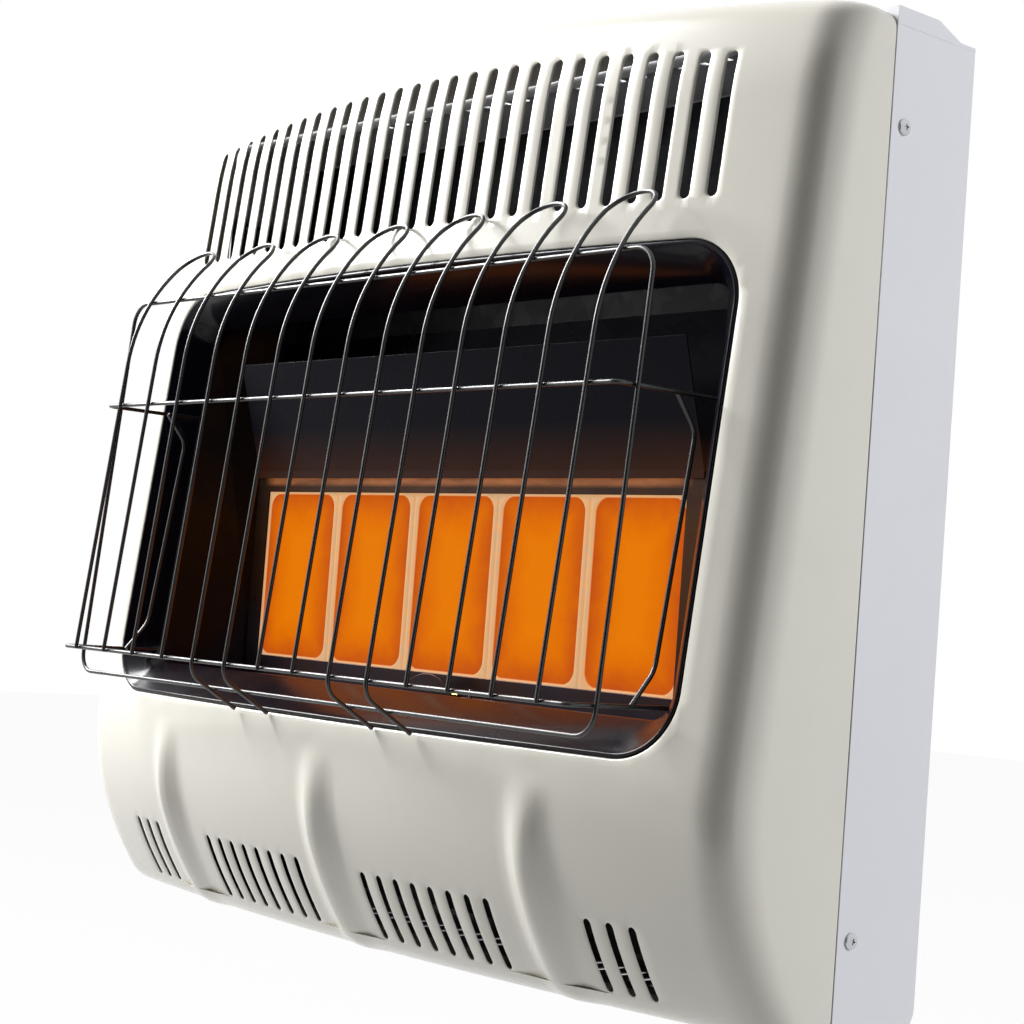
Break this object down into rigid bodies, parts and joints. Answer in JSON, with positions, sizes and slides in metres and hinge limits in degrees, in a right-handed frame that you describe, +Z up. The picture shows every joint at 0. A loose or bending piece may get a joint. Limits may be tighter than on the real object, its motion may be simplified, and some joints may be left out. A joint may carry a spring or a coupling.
{
  "type": "vent-free gas heater",
  "caption": "Wall-hung vent-free infrared gas heater with a bowed sheet-steel front, ceramic burner plaques, wire guard, top control knob and push igniter.",
  "frame": {"origin": "centre of the wall bracket's rectangle of screw holes, on the plane of the wall", "axes": "+X to the heater's right as seen from the room, +Y into the wall, +Z up; the front faces -Y"},
  "size_m": [0.6944, 0.2429, 0.622],
  "materials": {
    "cream_paint": "smooth gloss powder coat, cream",
    "case_paint": "smooth satin powder coat, cool off-white",
    "black_enamel": "gloss black heat-proof enamel",
    "guard_black": "semi-gloss black coated wire",
    "galvanised": "galvanised sheet steel",
    "heat_steel": "heat-tinted sheet steel",
    "glow_ceramic": "porous ceramic, glowing orange",
    "fibre": "pressed ceramic fibre",
    "brass": "machined brass",
    "zinc_cast": "die-cast, bead-blasted",
    "steel": "zinc-plated steel",
    "tube_metal": "drawn tube",
    "black_plastic": "moulded black plastic",
    "red_plastic": "moulded red plastic",
    "white_ceramic": "glazed ceramic",
    "copper": "bright copper",
    "lead_rubber": "silicone-covered lead"
  },
  "bodies": {
    "heater": {"front_panel": "cream_paint", "window_surround": "black_enamel", "side_panel_left": "case_paint", "side_panel_right": "case_paint", "back_panel": "galvanised", "bottom_panel": "case_paint", "top_cover": "case_paint", "wall_bracket": "galvanised", "case_screws": "steel", "rear_heat_shield": "black_enamel", "burner_plenum": "heat_steel", "plenum_gasket": "fibre", "burner_frame": "heat_steel", "plaque_far_left": "glow_ceramic", "plaque_left": "glow_ceramic", "plaque_centre": "glow_ceramic", "plaque_right": "glow_ceramic", "plaque_far_right": "glow_ceramic", "burner_brackets": "galvanised", "heat_deflector": "black_enamel", "reflector_left": "heat_steel", "reflector_right": "heat_steel", "reflector_lower": "heat_steel", "mixing_tube": "tube_metal", "injector": "brass", "injector_elbow": "brass", "manifold_pipe": "tube_metal", "supply_pipe": "tube_metal", "pressure_regulator": "zinc_cast", "inlet_fitting": "brass", "regulator_bracket": "galvanised", "gas_valve": "zinc_cast", "valve_bracket": "galvanised", "stem_spring": "steel", "pilot_bracket": "heat_steel", "pilot_burner": "brass", "spark_electrode": "white_ceramic", "flame_sensor": "steel", "pilot_tube": "tube_metal", "ignition_lead": "lead_rubber", "sensing_bulb": "copper", "capillary_tube": "copper", "bulb_clips": "steel", "igniter_body": "black_plastic", "igniter_nut": "steel", "igniter_spring": "steel", "guard_hoops": "guard_black", "guard_ring": "guard_black", "guard_middle_wire": "guard_black", "guard_bottom_wire": "guard_black", "guard_stays": "guard_black"},
    "rotor": {"valve_rotor": "brass"},
    "knob": {"valve_stem": "steel", "control_knob": "black_plastic"},
    "igniter_key": {"igniter_button": "red_plastic", "igniter_plunger": "brass"}
  },
  "joints": [
    {"name": "knob_turn", "type": "hinge", "parent": "heater", "child": "rotor", "pos_m": [0.295, -0.042, 0.07647], "axis": [0, 0, 1], "range_deg": [0, 240]},
    {"name": "knob_push", "type": "slide", "parent": "rotor", "child": "knob", "axis": [0, 0, -1], "range_m": [0, 0.0036], "stiffness_N_per_m": 800, "deforming": ["stem_spring"]},
    {"name": "igniter_press", "type": "slide", "parent": "heater", "child": "igniter_key", "axis": [0, 0, -1], "range_m": [0, 0.006], "stiffness_N_per_m": 600, "deforming": ["igniter_spring"]}
  ]
}
